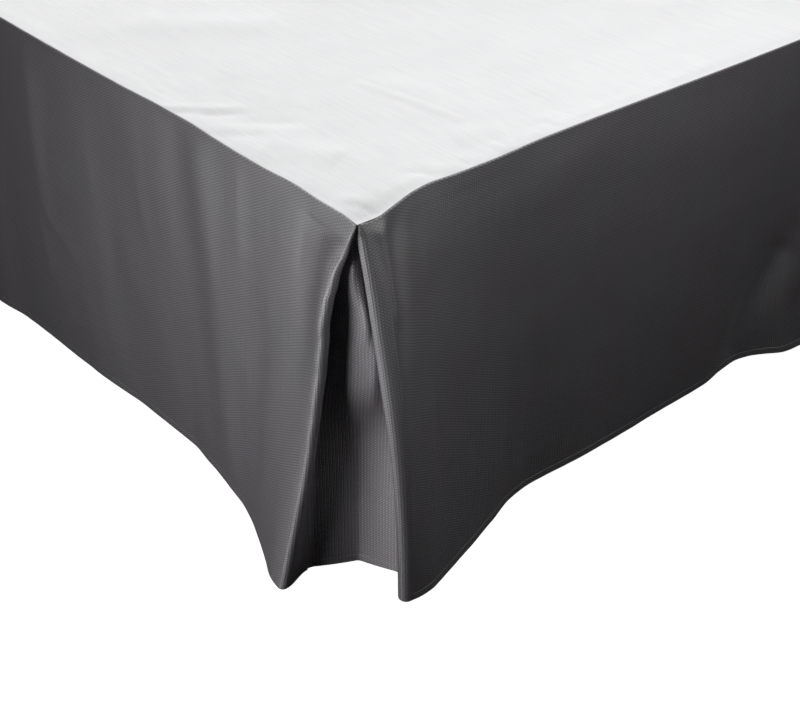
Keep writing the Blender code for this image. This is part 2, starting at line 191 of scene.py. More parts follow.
FOOT_TOP_LINE = [
    Stray(0.0015, 0.0000, 0.0000),
    Stray(0.010, -0.0022, 0.0000),
    Stray(0.020, -0.0042, 0.0000),
    Stray(0.040, -0.0038, 0.0000),
    Stray(0.060, -0.0018, 0.0000),
    Stray(0.080, 0.0002, 0.0002),
    Stray(0.110, 0.0015, 0.0015),
    Stray(0.155, 0.0004, 0.0004),
    Stray(0.200, 0.0002, 0.0002),
    Stray(0.300, 0.0018, 0.0018),
    Stray(0.350, 0.0018, 0.0018),
    Stray(0.450, 0.0013, 0.0012),
    Stray(0.700, 0.0000, 0.0000),
    Stray(1.300, 0.0000, 0.0000),
]

EVEN_TOP_LINE = [
    Stray(0.000, 0.0004, 0.0000),
    Stray(2.000, 0.0004, 0.0000),
]

# A crease or soft ridge in the cloth: the points (along, depth) that it runs through, its height and its
# half-width. A negative height is a trough.
Crease = namedtuple("Crease", "points height half_width")

# A side drop's flap springs open under the corner, and less so further down.
SIDE_OPENING = [
    Crease(((-0.006, 0.034), (0.006, 0.125)), 0.0040, 0.030),
    Crease(((-0.006, 0.034), (0.010, 0.185)), 0.0040, 0.030),
    Crease(((-0.006, 0.034), (0.016, 0.245)), 0.0045, 0.030),
    Crease(((-0.006, 0.034), (0.020, 0.295)), 0.0025, 0.030),
    Crease(((-0.004, 0.075), (0.000, 0.135)), 0.0045, 0.030),
]

SIDE_CREASES = [
    # the drag ridge down from the corner, and the trough beside it
    Crease(((0.278, 0.020), (0.245, 0.410), (0.232, 0.500)), 0.0040, 0.030),
    Crease(((0.330, 0.020), (0.300, 0.400)), -0.0025, 0.035),
    Crease(((0.685, 0.050), (0.688, 0.250)), 0.0035, 0.022),
    Crease(((0.829, 0.261), (0.700, 0.252), (0.620, 0.235)), -0.0020, 0.020),
    # smaller ones; the third is a pucker under the corner
    Crease(((0.198, 0.021), (0.197, 0.125)), 0.0012, 0.012),
    Crease(((0.067, 0.004), (0.071, 0.090)), -0.0010, 0.007),
    Crease(((0.063, 0.026), (0.030, 0.030), (0.001, 0.018)), -0.0020, 0.005),
    Crease(((0.700, 0.252), (0.668, 0.282), (0.613, 0.307)), 0.0016, 0.012),
    Crease(((0.697, 0.300), (0.695, 0.361)), 0.0014, 0.014),
    Crease(((0.430, 0.030), (0.424, 0.190)), 0.0010, 0.020),
    Crease(((0.520, 0.060), (0.512, 0.330)), -0.0012, 0.026),
    Crease(((0.600, 0.330), (0.590, 0.500)), 0.0014, 0.024),
    Crease(((0.150, 0.180), (0.165, 0.420)), -0.0012, 0.024),
]

FOOT_CREASES = [
    # the ridge beside the flap's edge, and the troughs beside the soft fold in the middle
    Crease(((0.070, 0.030), (0.036, 0.300)), 0.0024, 0.016),
    Crease(((0.800, 0.310), (0.700, 0.485)), -0.0080, 0.030),
    Crease(((0.828, 0.410), (0.838, 0.500)), -0.0030, 0.012),
    # drag folds and a pucker under the corner
    Crease(((0.040, 0.034), (0.036, 0.145)), -0.0013, 0.008),
    Crease(((0.078, 0.024), (0.068, 0.090)), -0.0010, 0.010),
    Crease(((0.008, 0.005), (0.026, 0.026)), -0.0022, 0.0035),
    # the bulge beside the corner, and the trough next to it
    Crease(((0.025, 0.002), (0.027, 0.120)), 0.0060, 0.012),
    Crease(((0.049, 0.010), (0.044, 0.100)), -0.0022, 0.013),
    # long soft ones
    Crease(((0.300, 0.030), (0.310, 0.260)), 0.0008, 0.018),
    Crease(((0.420, 0.060), (0.405, 0.400)), -0.0010, 0.028),
    Crease(((0.560, 0.040), (0.566, 0.300)), 0.0010, 0.024),
]

# The deck's creases: points (across the foot end, up the bed) from its left foot corner
DECK_CREASES = [
    # by the side seam
    Crease(((-0.007, 0.337), (0.014, 0.326), (0.030, 0.305), (0.062, 0.282)), -0.0019, 0.009),
    Crease(((-0.007, 0.352), (0.018, 0.338), (0.040, 0.316), (0.074, 0.290)), 0.0019, 0.012),
    Crease(((0.002, 0.253), (0.043, 0.211)), -0.0015, 0.010),
    Crease(((0.057, 0.252), (0.099, 0.217)), -0.0014, 0.012),
    Crease(((0.030, 0.194), (0.055, 0.155), (0.078, 0.106)), 0.0039, 0.030),
    Crease(((0.013, 0.262), (0.084, 0.193)), 0.0022, 0.022),
    # the long crease
    Crease(((0.228, 0.262), (0.242, 0.167), (0.248, 0.092)), 0.0019, 0.006),
    Crease(((0.262, 0.245), (0.268, 0.160), (0.272, 0.085)), 0.0017, 0.020),
    # by the foot seam
    Crease(((0.114, 0.034), (0.122, 0.025), (0.128, 0.009)), -0.0017, 0.006),
    Crease(((0.142, 0.040), (0.150, 0.010)), 0.0012, 0.008),
    Crease(((0.172, 0.028), (0.177, 0.006)), -0.0014, 0.005),
    Crease(((0.232, 0.026), (0.236, 0.004)), 0.0011, 0.006),
    Crease(((0.320, 0.030), (0.322, 0.010)), -0.0014, 0.006),
    Crease(((0.206, 0.071), (0.270, 0.046)), 0.0025, 0.026),
    Crease(((0.364, 0.105), (0.353, 0.038)), -0.0019, 0.020),
    # the drawn-out corner
    Crease(((0.012, 0.022), (0.025, 0.003), (0.033, -0.020)), -0.0015, 0.003),
    Crease(((0.022, 0.034), (0.036, 0.010)), 0.0014, 0.008),
    # far up the bed
    Crease(((0.330, 0.700), (0.420, 0.520), (0.520, 0.420)), 0.0045, 0.040),
    Crease(((0.120, 0.620), (0.260, 0.480)), 0.0037, 0.036),
]


# ---------------------------------------------------------------- how the cloth hangs
def rounded(keys, values):
    """A smooth curve through a short table, with no overshoot between its rows."""
    keys = np.asarray(keys, float)
    values = np.asarray(values, float)
    steps = np.diff(keys)
    slopes = np.diff(values) / steps
    tangents = np.zeros(len(keys))
    tangents[0] = slopes[0]
    tangents[-1] = slopes[-1]
    same_way = slopes[:-1] * slopes[1:] > 0
    total = np.where(same_way, slopes[:-1] + slopes[1:], 1.0)
    tangents[1:-1] = np.where(same_way, 2 * slopes[:-1] * slopes[1:] / total, 0.0)

    def at(key):
        i = np.clip(np.searchsorted(keys, key, side="right") - 1, 0, len(steps) - 1)
        t = (key - keys[i]) / steps[i]
        rise = values[i + 1] - values[i]
        start = tangents[i] * steps[i]
        end = tangents[i + 1] * steps[i]
        return values[i] + t * (start + t * (3 * rise - 2 * start - end + t * (start + end - 2 * rise)))

    return at


def blend(start, end, part):
    return start + (end - start) * part


def soft_step(part):
    part = np.clip(part, 0.0, 1.0)
    return part * part * (3 - 2 * part)


def risen(part, span):
    """How far something that comes over this span of the depth has come, from 0 to 1."""
    return soft_step((part - span[0]) / (span[1] - span[0]))


def hump(distance, half_width):
    return np.exp(-((distance / half_width) ** 2))


def stepped(*runs):
    """Places along a line from 0: each run is (where it ends, its step)."""
    places = [0.0]
    for end, step in runs:
        count = max(1, round((end - places[-1]) / step))
        places += list(np.linspace(places[-1], end, count + 1)[1:])
    return np.array(places)


def scaled(sections, amount):
    """The same drop with its flap standing out by another amount."""
    return [s._replace(middle=s.middle * amount, hem=s.hem * amount) for s in sections]


def crease_height(creases, x, y):
    """What the creases add at places on the cloth."""
    height = np.zeros(np.broadcast(x, y).shape)
    for crease in creases:
        points = np.array(crease.points)
        runs = np.hypot(*np.diff(points, axis=0).T)
        whole = runs.sum()
        nearest = np.full(height.shape, 9.0)
        along = np.zeros(height.shape)
        before = 0.0
        for (x0, y0), (x1, y1), run in zip(points, points[1:], runs):
            t = ((x - x0) * (x1 - x0) + (y - y0) * (y1 - y0)) / run**2
            held = np.clip(t, 0.0, 1.0)
            distance = np.hypot(x - blend(x0, x1, held), y - blend(y0, y1, held))
            closer = distance < nearest
            nearest = np.where(closer, distance, nearest)
            along = np.where(closer, (before + held * run) / whole, along)
            before += run
        ends = soft_step(4 * along + 0.5) * soft_step(4 * (1 - along) + 0.5)
        height += crease.height * ends * hump(nearest, crease.half_width)
    return height


def unevenness(x, y, size, seed):
    """Soft waves of about this size, from -1 to 1, that differ from sheet to sheet."""
    x, y = np.broadcast_arrays(x, y)
    waves = [noise.noise(Vector((a / size, b / size, seed))) for a, b in zip(x.ravel(), y.ravel())]
    return np.array(waves).reshape(x.shape)


def edge_roll(depth):
    """How far the drop has turned outward at this depth: sharply at its seam, then slowly."""
    inside = np.clip(SHARP_ROLL - depth, 0.0, SHARP_ROLL)
    turned = np.sqrt(SHARP_ROLL**2 - inside**2)
    return turned + (EDGE_ROLL - SHARP_ROLL) * soft_step(depth / 0.09)


def stray(line, along):
    """(above, inward) of a top seam at these places along it."""
    keys = [s.along for s in line]
    places = np.clip(along, keys[0], keys[-1])
    above, inward = (rounded(keys, [s[i] for s in line])(places) for i in (1, 2))
    return above, inward


def stitched(depth):
    """The turned top band and the hem stand out a little, and are pulled in at their stitching."""
    band = 0.0004 * (1 - soft_step((depth - BAND + 0.004) / 0.008))
    hem = 0.0004 * soft_step((depth - DROP + HEM + 0.001) / 0.002)
    return band + hem - 0.0003 * hump(depth - (DROP - HEM), 0.0012)


# ---------------------------------------------------------------- rows and columns of the sheets
RETURN_COLUMNS = 14
ROLL_COLUMNS = 16
LEAD_COLUMNS = 3
# straight and rounded stretches in turn
INSERT_COLUMNS = (3, 12, 8, 16, 4, 8, 5, 12, 8, 12, 3)
# close together at the seam, the band and the hem
DEPTHS = np.concatenate([
    [0.0, 0.0003, 0.0012, 0.0025, 0.0042, 0.0060, 0.0090, 0.0125],
    [0.0160, 0.0185, 0.0195, 0.0200, 0.0205, 0.0215],
    np.linspace(0.0245, 0.4840, 80),
    [0.4868, 0.4885, 0.4895, 0.4900, 0.4905, 0.4915, 0.4940, 0.4970, 0.4994],
])
INSERT_PARTS = np.concatenate([
    np.linspace(0.0, 0.968, 62),
    [0.974, 0.9785, 0.9795, 0.9805, 0.985, 0.992, 0.9990],
])
DECK_ACROSS = stepped(
    (0.004, 0.0013), (0.40, 0.0048), (0.90, 0.0095), (1.52, 0.024), (1.596, 0.008), (1.60, 0.0013)
)
DECK_UP = stepped((0.004, 0.0013), (0.42, 0.0048), (1.00, 0.0095), (1.98, 0.028), (2.00, 0.005))

# ---------------------------------------------------------------- a drop, level by level
# A drop's shape near and beyond its pleat
Hanging = namedtuple("Hanging", "sections roll seam creases top_line")


def hung_out(top, middle, hem, part):
    """How far out the cloth hangs at this part of its depth: a curve through its three places."""
    return top * (1 - part) * (1 - 2 * part) + middle * 4 * part * (1 - part) + hem * part * (2 * part - 1)


def flap_edge(drop, part):
    """(along, out) of the flap's edge at one level."""
    first = drop.sections[0]
    along = blend(first.at_top, first.at_hem, part)
    depth = part * DROP
    raised = crease_height(drop.creases, np.array([along]), np.array([depth]))[0]
    return along, hung_out(*first[2:], part) + float(soft_step(depth / 0.012) * raised)


def roll_sizes(drop, part):
    keys = [r.part for r in drop.roll]
    return [float(rounded(keys, [r[i] for r in drop.roll])(part)) for i in (1, 2, 3)]


def inner_fold(drop, part):
    """(along, out) of the seam in the pleat's inner fold. It lies a layer behind the drop at the top."""
    top_line = rounded([s.at_top for s in drop.sections], [s.top for s in drop.sections])
    along = blend(PLEAT_DEPTH, drop.seam.along, part)
    return along, blend(float(top_line(PLEAT_DEPTH)) - LAYER, drop.seam.out, part)


def turn_back(drop, part, edge):
    """The turn-back and the roll of the flap's edge at one level, as (along, out) columns."""
    wide, deep, back = roll_sizes(drop, part)
    seam = np.array(inner_fold(drop, part))
    centre = np.array([edge[0] + wide, edge[1] - deep])
    across, down = (seam - centre) / (wide, back)
    swing = TURN_SWING * part
    end = math.atan2(down, across) - math.acos(min(1.0, 1 / math.hypot(across, down))) - swing
    while end < math.pi / 2:
        end += 2 * math.pi
    turn = np.linspace(end, math.pi / 2, ROLL_COLUMNS + 1)[:, None]
    half = np.where(np.sin(turn) > 0, deep, back)
    roll = centre + np.hstack([wide * np.cos(turn), half * np.sin(turn)])
    chord = roll[0] - seam
    turned = np.array([
        chord[0] * math.cos(swing) + chord[1] * math.sin(swing),
        chord[1] * math.cos(swing) - chord[0] * math.sin(swing),
    ])
    t = (np.arange(RETURN_COLUMNS) / RETURN_COLUMNS)[:, None]
    straight = seam + t * t * (3 - 2 * t) * chord + t * (1 - t) * (1 - 2 * t) * turned
    return straight, roll


def flap_and_drop(drop, places, part, seed):
    """The columns of a drop at one level, from its pleat's seam on: along, out, sink and sag. The sag is
    that of its top seam."""
    keys = [s.at_hem for s in drop.sections]
    at_top, at_hem, top, middle, hem = (rounded(keys, [s[i] for s in drop.sections]) for i in range(5))
    depth = part * DROP
    hung = soft_step(depth / 0.012)

    def hang(key):
        along = blend(at_top(key), at_hem(key), part)
        return along, hung_out(top(key), middle(key), hem(key), part)

    def creased(along):
        return hung * crease_height(drop.creases, along, np.full(along.shape, depth))

    # The turned-back cloth starts lower than the face, so its edge is that of its own level.
    climbed = soft_step(1.6 * np.arange(ROLL_COLUMNS + 1) / ROLL_COLUMNS)[:, None]
    sunk_edge = flap_edge(drop, part + TURNED_DEPTH / DROP * (1 - part))
    straight, sunk_roll = turn_back(drop, part, sunk_edge)
    edge_along, edge_out = flap_edge(drop, part)
    roll = blend(sunk_roll, turn_back(drop, part, (edge_along, edge_out))[1], climbed)

    outer_along, outer_out = hang(places)
    outer_out = outer_out + creased(outer_along)
    # A few columns lead from the roll to the first place of the face, along a smooth curve.
    step = np.arange(1, LEAD_COLUMNS + 1) / (LEAD_COLUMNS + 1)
    lead_along = blend(roll[-1, 0], outer_along[0], step)
    slope = (outer_out[1] - outer_out[0]) / (outer_along[1] - outer_along[0])
    run = outer_along[0] - roll[-1, 0]
    rise = outer_out[0] - edge_out
    lead_out = edge_out + step**2 * (3 * rise - slope * run + step * (slope * run - 2 * rise))
    face_along = np.concatenate([lead_along, outer_along])
    face_out = np.concatenate([lead_out, outer_out])
    started = soft_step((face_along - edge_along) / 0.03)
    levels = np.full(face_along.shape, depth)
    waves = 0.0011 * unevenness(face_along, levels, 0.085, seed)
    waves += 0.0005 * unevenness(face_along, levels * 0.4, 0.030, seed + 7)
    face_out += waves * started * soft_step(depth / 0.05)
    # The stitching gathers the cloth in small puckers along the band and the hem.
    ripple = unevenness(face_along, levels * 0.2, 0.0065, seed + 3)
    gathered = hump(depth - BAND - 0.001, 0.008) + 0.8 * hump(depth - (DROP - HEM), 0.009)
    face_out += (stitched(depth) + 0.00045 * ripple * gathered) * started

    along = np.concatenate([straight[:, 0], roll[:, 0], face_along])
    out = np.concatenate([straight[:, 1], roll[:, 1], face_out])
    sink = np.concatenate([
        np.full(RETURN_COLUMNS, TURNED_DEPTH),
        TURNED_DEPTH * (1 - climbed[:, 0]),
        np.zeros(len(face_along)),
    ])
    start = drop.sections[0].at_top
    on_seam = np.concatenate([
        np.full(RETURN_COLUMNS + ROLL_COLUMNS + 1, start),
        blend(start, float(at_top(places[0])), step),
        at_top(places),
    ])
    above, inward = stray(drop.top_line, on_seam)
    out = out - inward * (1 - soft_step(depth / 0.035))
    sag = CORNER_SAG * hump(on_seam - start, CORNER_SAG_REACH) - above
    return along, out, sink, sag


def drop_rows(columns_at):
    """Arrays of along, out, z, and how far down the cloth each point lies."""
    rows = []
    for depth in DEPTHS:
        part = depth / (DROP - DROP_CLOTH / 2)
        along, out, sink, sag = columns_at(part)
        deep = blend(sink, DROP - DROP_CLOTH / 2, part)
        z = DECK_TOP - DROP_CLOTH / 2 - deep - sag * (1 - part)
        rows.append((along, out + edge_roll(deep) + SEAM_GAP / 2, z, deep))
    return [np.array([row[i] for row in rows]) for i in range(4)]


def left_side(along, out):
    return -BED_WIDTH / 2 - out, -BED_LENGTH / 2 + along - MIDDLE_Y


def right_side(along, out):
    return BED_WIDTH / 2 + out, -BED_LENGTH / 2 + along - MIDDLE_Y


def foot_end(along, out):
    return -BED_WIDTH / 2 + along, -BED_LENGTH / 2 - out - MIDDLE_Y


# ---------------------------------------------------------------- making sheets
def row_lengths(x, y, z, middle):
    """How far each point lies from its row's middle column, measured on the cloth."""
    steps = np.sqrt(np.diff(x, axis=1) ** 2 + np.diff(y, axis=1) ** 2 + np.diff(z, axis=1) ** 2)
    lengths = np.concatenate([np.zeros((len(x), 1)), np.cumsum(steps, axis=1)], axis=1)
    return lengths - lengths[:, middle:middle + 1]


def cloth_sheet(name, x, y, z, across, down, thickness, material):
    """A sheet of cloth through a grid of points; across and down are its places on the flat cloth."""
    rows, columns = x.shape
    bpy.ops.mesh.primitive_grid_add(x_subdivisions=columns - 1, y_subdivisions=rows - 1, size=1.0)
    sheet = bpy.context.object
    sheet.name = name
    sheet.data.name = name
    sheet.data.vertices.foreach_set("co", np.stack([x, y, z], axis=-1).ravel())
    flat = np.stack([across.ravel(), down.ravel()], axis=-1)
    corners = np.zeros(len(sheet.data.loops), dtype=int)
    sheet.data.loops.foreach_get("vertex_index", corners)
    cloth_map = sheet.data.uv_layers[0]
    cloth_map.name = "cloth"
    cloth_map.data.foreach_set("uv", flat[corners].ravel())
    sheet.data.update()
    sheet.data.materials.append(material)
    solidify = sheet.modifiers.new("thickness", "SOLIDIFY")
    solidify.thickness = thickness
    solidify.offset = 0.0
    bpy.ops.object.modifier_apply(modifier=solidify.name)
    bpy.ops.object.shade_smooth_by_angle(angle=math.radians(60))
    sheet.select_set(False)
    return sheet


def middle_column(places):
    """The column from which the weave is measured, away from the flap."""
    return RETURN_COLUMNS + ROLL_COLUMNS + 1 + LEAD_COLUMNS + int(np.searchsorted(places, 0.35))


def drop(name, node, columns_at, place, middle, flat, material):
    along, out, z, deep = drop_rows(columns_at)
    x, y = place(along, out)
    across = row_lengths(x, y, z, middle)
    sheet = cloth_sheet(name, x, y, z, across, deep, DROP_CLOTH, material)
    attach(sheet, "root")
    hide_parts(node)


def side_drop(name, node, shape, places, place, seed, material):
    def columns_at(part):
        return flap_and_drop(shape, places, part, seed)

    drop(name, node, columns_at, place, middle_column(places), (2.07, 0.52), material)


def foot_drop(name, node, near, far, near_places, far_places, seeds, material):
    """One strip with a pleat's flap at each end."""
    def columns_at(part):
        near_end = flap_and_drop(near, near_places, part, seeds[0])
        far_end = flap_and_drop(far, far_places, part, seeds[1])
        far_end = (BED_WIDTH - far_end[0],) + far_end[1:]
        return [np.concatenate([a, b[::-1]]) for a, b in zip(near_end, far_end)]

    drop(name, node, columns_at, foot_end, middle_column(near_places), (1.73, 0.52), material)


def bent(points, reaches):
    """A path through these points, with each corner between them rounded over its reach."""
    path = []
    here = points[0]
    counts = iter(INSERT_COLUMNS)
    for before, corner, after, reach in zip(points, points[1:], points[2:], reaches):
        first = np.hypot(*(before - corner))
        last = np.hypot(*(after - corner))
        reach = min(reach, 0.45 * first, 0.45 * last)
        enter = blend(corner, before, reach / first)
        leave = blend(corner, after, reach / last)
        t = np.linspace(0, 1, next(counts) + 1)[:-1, None]
        path.append(blend(here, enter, t))
        t = np.linspace(0, 1, next(counts) + 1)[:-1, None]
        path.append((1 - t) ** 2 * enter + 2 * t * (1 - t) * corner + t**2 * leave)
        here = leave
    t = np.linspace(0, 1, next(counts) + 1)[:, None]
    path.append(blend(here, points[-1], t))
    return np.concatenate(path)


def insert_end(drop, part):
    """Where an insert ends by its seam with this drop, and the corner of the inner fold there."""
    along, out = inner_fold(drop, part)
    opened = soft_step((part - 0.4) / 0.6)
    end = (along + SEAM_LAP, out + EDGE_ROLL + blend(-LAYER, HEM_LAP, opened))
    reach = blend(0.004, FOLD_REACH, part)
    heading = math.pi + math.pi / 2 * soft_step((part - 0.3) / 0.4)
    return end, (end[0] + reach * math.cos(heading), end[1] + reach * math.sin(heading))


def insert_fold(side, foot, part):
    """The middle fold of an insert at one level, between its two inner folds."""
    behind = EDGE_ROLL - 2 * LAYER
    at_top = np.array([-side.sections[0].top - behind, -foot.sections[0].top - behind])
    fold = blend(at_top, INSERT_SET_BACK, soft_step(part * 1.1))
    fold = fold + INSERT_BOW * risen(part, BOW_COMES) * (1 - 0.5 * risen(part, BOW_HALF_GOES))
    fold = fold + INSERT_HOLLOW * (1 - risen(part, HOLLOW_GOES))
    return fold + INSERT_TIP * hump(part - TIP_LEVEL, TIP_SPREAD)


def insert_lean(foot, fold, last_fold, part):
    """Two soft folds of an insert at one level: one that comes out beside the roll of the foot's flap near
    the top, and one that leans forward to the foot's turn-back in the upper half."""
    along, out = flap_edge(foot, part)
    deep, back = roll_sizes(foot, part)[1:]
    behind_roll = np.array([along + 0.010, deep + back + 0.0035 - out])
    beside_roll = np.array([along + 0.0003, deep - out + 0.002])
    leaning = risen(part, LEAN_COMES) * (1 - risen(part, LEAN_GOES))
    meeting = risen(part, MEETS_ROLL) * (1 - risen(part, LEAVES_ROLL))
    forward = blend(blend(fold, last_fold, 0.4), behind_roll, leaning)
    return blend(blend(fold, forward, 0.5), beside_roll, meeting), forward


def insert(name, node, side, foot, flip, seed, material):
    """The pleat's backing panel: from the side drop's seam, round the corner, to the foot drop's seam."""
    xs, ys, zs, deeps = [], [], [], []
    for part in INSERT_PARTS:
        deep = blend(TURNED_DEPTH, DROP, part)
        start, first_fold = (np.array([-out, along]) for along, out in insert_end(side, part))
        end, last_fold = (np.array([along, -out]) for along, out in insert_end(foot, part))
        fold = insert_fold(side, foot, part)
        tip, forward = insert_lean(foot, fold, last_fold, part)
        by_seam, *by_roll = INSERT_FOLD_REACHES
        reaches = (by_seam, blend(CORNER_ROLL, PLEAT_DEPTH, part), *by_roll)
        row = bent((start, first_fold, fold, tip, forward, last_fold, end), reaches)
        spot = np.linspace(-0.05, 0.05, len(row))
        inner = np.sin(np.linspace(0, math.pi, len(row)))
        wave = 0.0007 * unevenness(spot, np.full(len(row), deep), 0.045, seed)
        wave += stitched(deep) - 0.0005 * (deep < BAND + 0.002)
        outward = (wave * inner * soft_step(part / 0.2))[:, None] * np.array([[-0.7, -0.7]])
        row = row + outward
        xs.append(row[:, 0])
        ys.append(row[:, 1])
        reach = np.hypot(*(row - row[0]).T) / np.hypot(*(row[-1] - row[0]))
        lower = INSERT_HANG * part * np.sin(math.pi * np.minimum(reach, 1.0))
        zs.append(DECK_TOP - deep - lower)
        deeps.append(np.full(len(row), deep))
    x, y, z, deep = (np.array(v) for v in (xs, ys, zs, deeps))
    across = row_lengths(x, y, z, x.shape[1] // 2)
    x = (-BED_WIDTH / 2 + x) * flip
    y = -BED_LENGTH / 2 + y - MIDDLE_Y
    sheet = cloth_sheet(name, x, y, z, across, deep, DROP_CLOTH, material)
    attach(sheet, "root")
    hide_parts(node)


def deck(side, foot, side_line, foot_line, material):
    """The deck: it lies on the base, with loose creases, its foot corners drawn out into the pleats."""
    across, up = np.meshgrid(DECK_ACROSS, DECK_UP)
    foot_top = rounded([s.at_top for s in foot], [s.top for s in foot])
    from_side = np.minimum(across, BED_WIDTH - across)
    drawn = np.where(from_side < 0.30, foot_top(np.minimum(from_side, 0.5)), 0.0)
    # The places on the deck: b is across the foot end and a is up the bed, drawn out at the corners.
    b = across
    a = up - (drawn - SEAM_GAP / 2) * hump(up, 0.05)
    to_corner = np.hypot(a + foot[0].top, from_side)
    loose = soft_step(from_side / 0.02) * soft_step(np.minimum(up, BED_LENGTH - up) / 0.02)
    lift = 0.0016 * (1 + unevenness(b, a, 0.16, 3.0)) + 0.0007 * unevenness(b, a, 0.055, 5.0)
    lift = np.maximum(lift, 0.0) * loose
    lift += crease_height(DECK_CREASES, b, a) * soft_step(up / 0.004) * soft_step(from_side / 0.004)
    # Rows of small puckers along the foot seam
    rows = soft_step((b - 0.09) / 0.02) * soft_step((0.36 - b) / 0.03)
    pucker = 0.5 + 0.5 * unevenness(b, a * 0.25, 0.0062, 11.0)
    lift += 0.00096 * rows * pucker * (up / 0.007) * np.exp(1 - up / 0.007)
    seam = np.where(from_side < 1e-6, SEAM_GAP / 2, 0.0)
    x = -BED_WIDTH / 2 + b + seam * np.sign(BED_WIDTH / 2 - b)
    y = -BED_LENGTH / 2 + a - MIDDLE_Y
    z = DECK_TOP - DROP_CLOTH / 2 + lift - CORNER_SAG * hump(to_corner, CORNER_SAG_REACH)
    # Its edges go where the drops' top seams stray.
    by_side = 1 - soft_step(b / 0.035)
    by_foot = 1 - soft_step(up / 0.035)
    by_side, by_foot = by_side * (1 - by_foot / 2), by_foot * (1 - by_side / 2)
    above, inward = stray(side_line, a)
    z = z + above * by_side
    x = x + inward * by_side
    above, inward = stray(foot_line, b)
    z = z + above * by_foot
    y = y + inward * by_foot
    sheet = cloth_sheet("deck_cloth", x, y, z, across, up, DECK_CLOTH, material)
    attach(sheet, "root")
    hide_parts("deck")


# ---------------------------------------------------------------- finishes
# The charcoal yarns, and the weave's repeats across and down the cloth. The inserts' weave is ribbed, and
# the inserts' yarns are painted paler: painted light on the same cloth.
DARK_YARN = (0.028, 0.0255, 0.029)
PALE_YARN = (0.228, 0.209, 0.232)
HEM_THREAD = (0.15, 0.15, 0.155, 1.0)
BASKET = (0.0064, 0.0036)
RIBBED_BASKET = (0.0042, 0.0036)
COTTON_REPEAT = 0.0008


def new_finish(name, roughness, specular):
    material = bpy.data.materials.new(name)
    material.use_nodes = True
    shader = material.node_tree.nodes["Principled BSDF"]
    shader.inputs["Roughness"].default_value = roughness
    shader.inputs["Specular IOR Level"].default_value = specular
    return material, material.node_tree, shader


def plug(tree, socket, value):
    """Sets an input to a number or colour, or joins it to another node's output."""
    if isinstance(value, bpy.types.NodeSocket):
        tree.links.new(value, socket)
    else:
        socket.default_value = value


def work(tree, operation, first, second=0.0, third=None):
    node = tree.nodes.new("ShaderNodeMath")
    node.operation = operation
    plug(tree, node.inputs[0], first)
    plug(tree, node.inputs[1], second)
    if third is not None:
        plug(tree, node.inputs[2], third)
    return node.outputs[0]


def between(tree, value, low, high, to_low=0.0, to_high=1.0):
    node = tree.nodes.new("ShaderNodeMapRange")
    node.interpolation_type = "SMOOTHSTEP"
    plug(tree, node.inputs["Value"], value)
    for socket, number in zip(("From Min", "From Max", "To Min", "To Max"), (low, high, to_low, to_high)):
        node.inputs[socket].default_value = number
    return node.outputs["Result"]


def mixed(tree, part, first, second, how="MIX"):
    """Two colours mixed: the node's inputs 6 and 7 and its output 2 are those for colours."""
    node = tree.nodes.new("ShaderNodeMix")
    node.data_type = "RGBA"
    node.blend_type = how
    plug(tree, node.inputs[0], part)
    plug(tree, node.inputs[6], first)
    plug(tree, node.inputs[7], second)
    return node.outputs[2]


def clouds(tree, place, scale, detail=2.0):
    node = tree.nodes.new("ShaderNodeTexNoise")
    node.inputs["Scale"].default_value = scale
    node.inputs["Detail"].default_value = detail
    tree.links.new(place, node.inputs["Vector"])
    return node.outputs["Fac"]


def stretched(tree, place, sizes):
    node = tree.nodes.new("ShaderNodeMapping")
    node.inputs["Scale"].default_value = sizes
    tree.links.new(place, node.inputs["Vector"])
    return node.outputs["Vector"]


def raised(tree, height, depth, strength=1.0, under=None):
    node = tree.nodes.new("ShaderNodeBump")
    node.inputs["Strength"].default_value = strength
    node.inputs["Distance"].default_value = depth
    tree.links.new(height, node.inputs["Height"])
    if under is not None:
        tree.links.new(under, node.inputs["Normal"])
    return node.outputs["Normal"]


def cloth_places(tree):
    """The place on the flat cloth, and its two parts across and down the cloth."""
    uv = tree.nodes.new("ShaderNodeUVMap")
    uv.uv_map = "cloth"
    split = tree.nodes.new("ShaderNodeSeparateXYZ")
    tree.links.new(uv.outputs["UV"], split.inputs["Vector"])
    return uv.outputs["UV"], split.outputs["X"], split.outputs["Y"]


